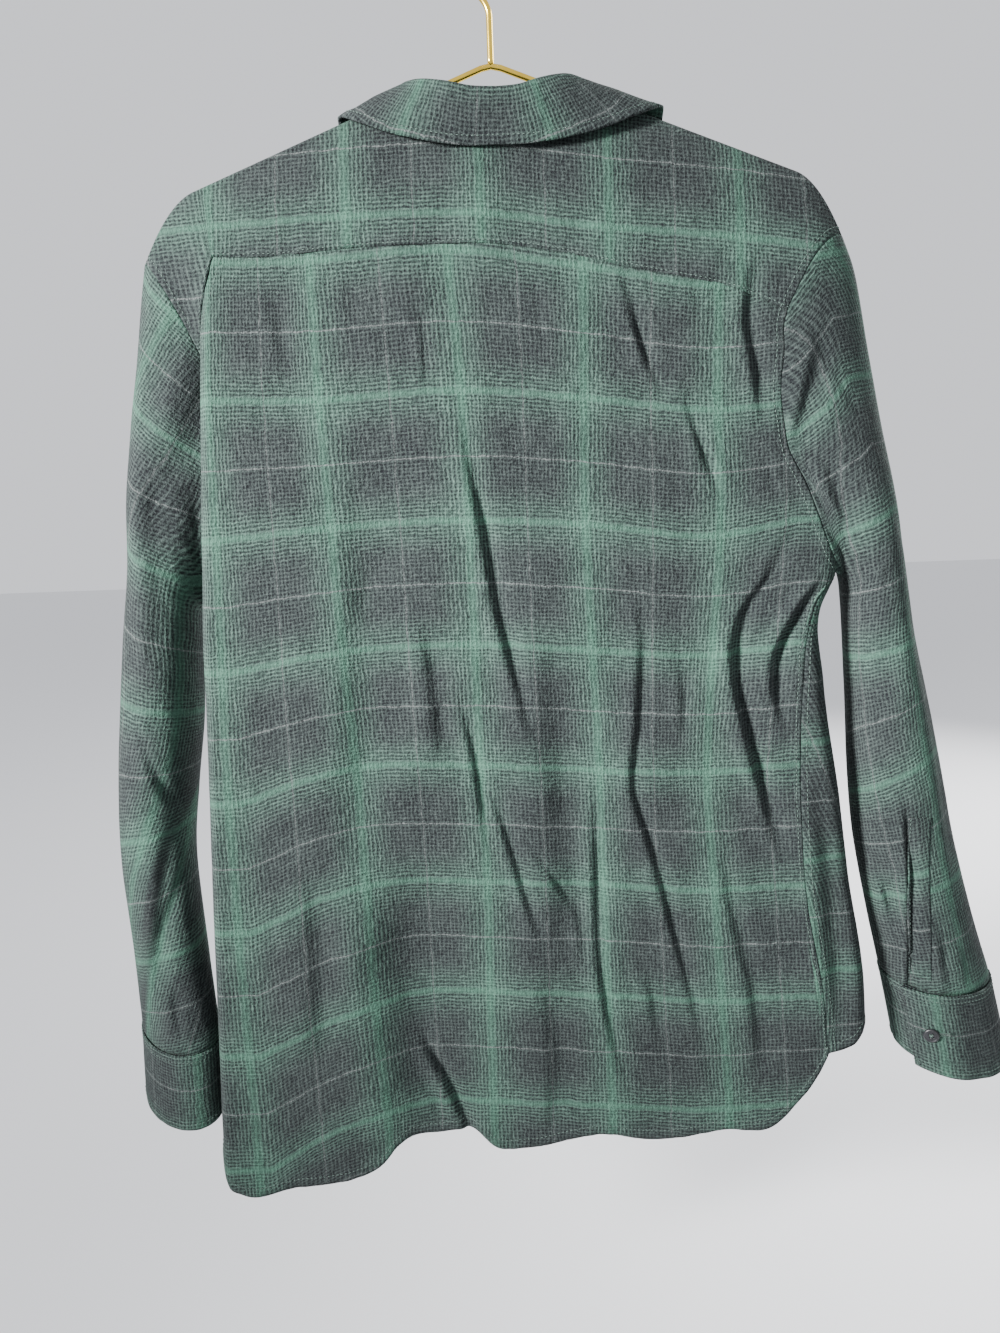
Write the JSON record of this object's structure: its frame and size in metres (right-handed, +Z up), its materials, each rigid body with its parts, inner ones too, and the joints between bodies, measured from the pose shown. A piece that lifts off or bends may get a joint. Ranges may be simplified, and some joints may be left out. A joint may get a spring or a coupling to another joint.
{
  "type": "flannel shirt on a wire hanger",
  "caption": "Long-sleeved checked flannel shirt with a yoke, collar, cuffs and shirt-tail hem, buttoned up and hung by its back on a thin wire hanger.",
  "frame": {"origin": "inner top of the hanger's hook, where it rests on what holds it", "axes": "+Z up; +Y toward the shirt's buttoned front; +X toward the wearer's right sleeve, which is on the right as the back is looked at"},
  "size_m": [0.6871, 0.0932, 0.8893],
  "materials": {
    "flannel": "brushed, matte",
    "button": "dark, slightly glossy",
    "gold_wire": "polished"
  },
  "bodies": {
    "root": {"back_panel": "flannel", "yoke": "flannel", "front_left": "flannel", "front_right": "flannel", "collar_stand": "flannel", "collar_fall": "flannel", "sleeve_left": "flannel", "sleeve_right": "flannel", "cuff_left": "flannel", "cuff_right": "flannel", "sleeve_placket_left": "flannel", "sleeve_placket_right": "flannel", "button_placket": "flannel", "button_front_1": "button", "button_front_2": "button", "button_front_3": "button", "button_front_4": "button", "button_front_5": "button", "button_front_6": "button", "button_front_7": "button", "button_collar": "button", "button_cuff_left": "button", "button_cuff_right": "button", "hanger_frame": "gold_wire", "hanger_hook": "gold_wire"}
  },
  "joints": []
}
